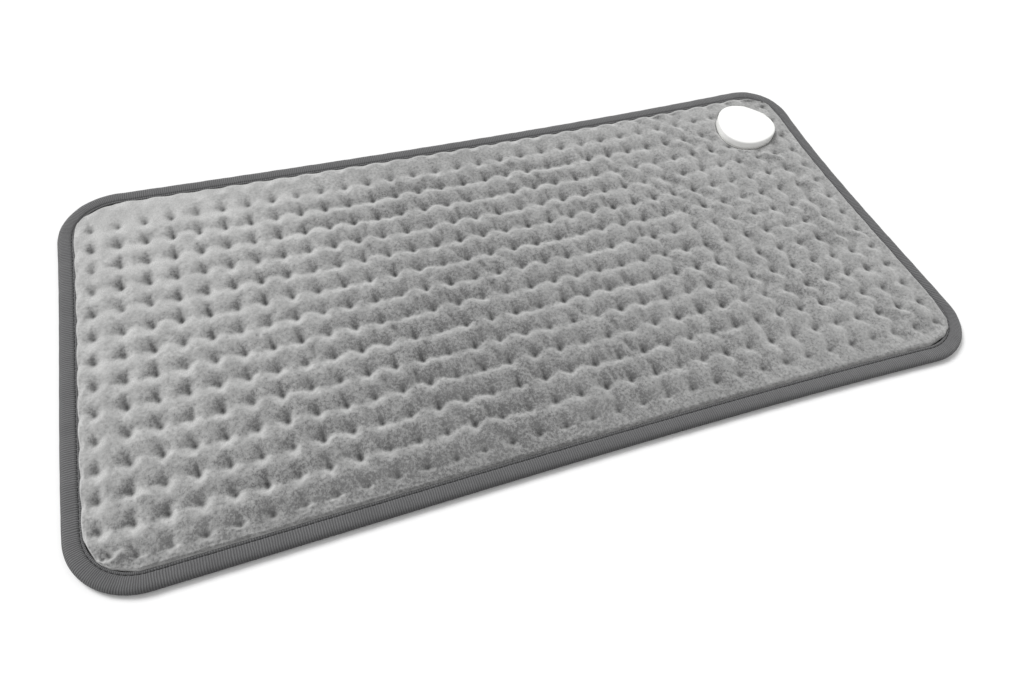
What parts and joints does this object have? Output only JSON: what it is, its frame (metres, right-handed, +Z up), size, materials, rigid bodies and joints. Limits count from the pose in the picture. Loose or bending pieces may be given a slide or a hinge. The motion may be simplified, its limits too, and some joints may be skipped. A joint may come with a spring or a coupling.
{
  "type": "heating pad with controller",
  "caption": "Flat quilted electric heating pad with a bound edge and a press-cap controller clamped through one corner.",
  "frame": {"origin": "under the middle of the pad's outline, on the surface that the pad lies on", "axes": "+X along the pad's long side towards the controller's end, +Y across the pad towards the controller's side, +Z up through its thickness"},
  "size_m": [0.5996, 0.304, 0.0138],
  "materials": {
    "plush": "matte",
    "edge_tape": "matte",
    "wadding": "matte",
    "carrier": "matte",
    "wire_sheath": "satin",
    "lead_red": "satin",
    "lead_blue": "satin",
    "lead_pale": "satin",
    "cap_white": "satin",
    "base_white": "fine spark-eroded",
    "board": "solder mask",
    "black_plastic": "moulded",
    "plunger_red": "moulded",
    "lamp": "clear",
    "steel": "zinc plated",
    "brass": "bright"
  },
  "bodies": {
    "pad": {"front_cover": "plush", "back_cover": "plush", "binding_tape": "edge_tape", "front_wadding": "wadding", "back_wadding": "wadding", "heater_sheet": "carrier", "heating_wire": "wire_sheath", "thermal_cutout_1": "steel", "thermal_cutout_2": "steel", "temperature_sensor": "black_plastic", "lead_wire_live": "lead_red", "lead_wire_neutral": "lead_blue", "sensor_wire": "lead_pale", "controller_base": "base_white", "circuit_board": "board", "switch_body": "black_plastic", "control_chip": "black_plastic", "power_triac": "black_plastic", "indicator_led": "lamp", "socket_insert": "black_plastic", "contact_pin_1": "brass", "contact_pin_2": "brass", "contact_pin_3": "brass", "clamp_plate": "base_white", "clamp_screw_1": "steel", "clamp_screw_2": "steel", "clamp_screw_3": "steel"},
    "press_button": {"press_cap": "cap_white", "switch_plunger": "plunger_red"}
  },
  "joints": [
    {"name": "cap_press", "type": "slide", "parent": "pad", "child": "press_button", "axis": [0, 0, -1], "range_m": [0, 0.0005], "stiffness_N_per_m": 4000}
  ]
}
